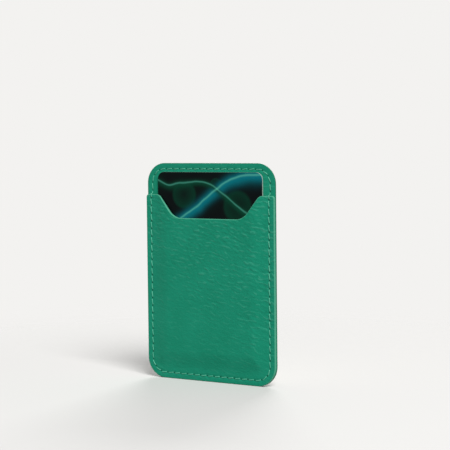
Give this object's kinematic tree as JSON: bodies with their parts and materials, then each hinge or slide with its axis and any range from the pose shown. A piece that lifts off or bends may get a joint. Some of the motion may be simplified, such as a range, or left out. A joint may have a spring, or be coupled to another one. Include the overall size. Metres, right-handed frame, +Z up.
{
  "type": "phone card holder",
  "caption": "Slim stick-on leather card holder for the back of a phone: a formed front pocket with a thumb notch is sewn to a taller back panel, and a bank-size card stands in it.",
  "frame": {"origin": "centre of the rear face of the adhesive tape, where the holder meets the phone", "axes": "+Z up towards the pocket's mouth, +Y out of the rear face into the phone, so the front looks along -Y; +X to the right as the front is seen"},
  "size_m": [0.066, 0.0041, 0.097],
  "materials": {
    "grain_leather": "pebbled green leather, satin, with paler cut edges",
    "smooth_leather": "smoother green leather, satin",
    "lining": "fine felted lining in a darker green",
    "thread": "twisted polyester sewing thread, lighter green, slight sheen",
    "printed_plastic": "near-black glossy print with soft teal and green light streaks, white core at the edge",
    "foam_tape": "matt off-white double-sided foam tape"
  },
  "bodies": {
    "root": {"front_pocket": "grain_leather", "back_panel": "smooth_leather", "rear_lining": "lining", "adhesive_tape": "foam_tape", "needle_thread": "thread", "bobbin_thread": "thread", "card": "printed_plastic"}
  },
  "joints": []
}
